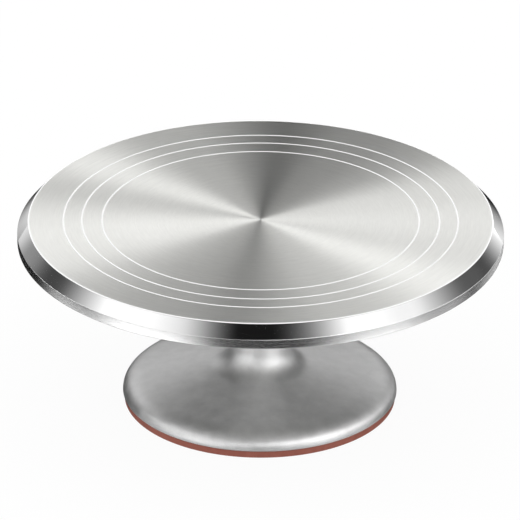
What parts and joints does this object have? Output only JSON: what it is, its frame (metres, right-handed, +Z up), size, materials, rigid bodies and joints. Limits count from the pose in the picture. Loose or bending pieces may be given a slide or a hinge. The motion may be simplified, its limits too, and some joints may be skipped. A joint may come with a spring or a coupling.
{
  "type": "cake turntable",
  "caption": "Round aluminium plate with engraved cake circles and a bevelled rim that spins on ball bearings in a low flared pedestal with a non-slip foot ring.",
  "frame": {"origin": "centre of the foot ring's underside, on the surface the turntable stands on", "axes": "+Z up along the spindle, which is the axis of the plate, the bearings and the pedestal"},
  "size_m": [0.31, 0.31, 0.126],
  "materials": {
    "turned_aluminium": "fine concentric turning on the flat top, polished bevel, satin rim",
    "cast_aluminium": "cast and bead-blasted, satin",
    "spindle_steel": "ground",
    "bearing_steel": "hardened and polished bearing steel",
    "shield_steel": "pressed sheet",
    "spring_steel": "blackened spring steel",
    "screw_steel": "zinc plated",
    "nylon": "moulded nylon",
    "silicone": "matte red-brown silicone"
  },
  "bodies": {
    "base": {"pedestal": "cast_aluminium", "foot_ring": "silicone", "upper_outer_ring": "bearing_steel", "lower_outer_ring": "bearing_steel", "upper_shield_top": "shield_steel", "upper_shield_bottom": "shield_steel", "lower_shield_top": "shield_steel", "lower_shield_bottom": "shield_steel", "upper_circlip": "spring_steel", "lower_circlip": "spring_steel"},
    "inner_races": {"upper_inner_ring": "bearing_steel", "lower_inner_ring": "bearing_steel", "spacer_sleeve": "spindle_steel"},
    "turntable": {"turntable_plate": "turned_aluminium", "hub_flange": "cast_aluminium", "hub_screw_1": "screw_steel", "hub_screw_2": "screw_steel", "hub_screw_3": "screw_steel", "hub_screw_4": "screw_steel", "spindle": "spindle_steel"},
    "upper_balls": {"upper_cage": "nylon", "upper_ball_1": "bearing_steel", "upper_ball_2": "bearing_steel", "upper_ball_3": "bearing_steel", "upper_ball_4": "bearing_steel", "upper_ball_5": "bearing_steel", "upper_ball_6": "bearing_steel", "upper_ball_7": "bearing_steel", "upper_ball_8": "bearing_steel"},
    "lower_balls": {"lower_cage": "nylon", "lower_ball_1": "bearing_steel", "lower_ball_2": "bearing_steel", "lower_ball_3": "bearing_steel", "lower_ball_4": "bearing_steel", "lower_ball_5": "bearing_steel", "lower_ball_6": "bearing_steel", "lower_ball_7": "bearing_steel", "lower_ball_8": "bearing_steel"}
  },
  "joints": [
    {"name": "table_spin", "type": "hinge", "parent": "base", "child": "inner_races", "pos_m": [0, 0, 0.102], "axis": [0, 0, 1], "continuous": true},
    {"name": "plate_lift", "type": "slide", "parent": "inner_races", "child": "turntable", "axis": [0, 0, 1], "range_m": [0, 0.075]},
    {"name": "upper_cage_spin", "type": "hinge", "parent": "base", "child": "upper_balls", "pos_m": [0, 0, 0.102], "axis": [0, 0, 1], "continuous": true},
    {"name": "lower_cage_spin", "type": "hinge", "parent": "base", "child": "lower_balls", "pos_m": [0, 0, 0.047], "axis": [0, 0, 1], "continuous": true}
  ],
  "couplings": [
    {"joint": "upper_cage_spin", "follows": "table_spin", "ratio": 0.381},
    {"joint": "lower_cage_spin", "follows": "table_spin", "ratio": 0.381}
  ]
}
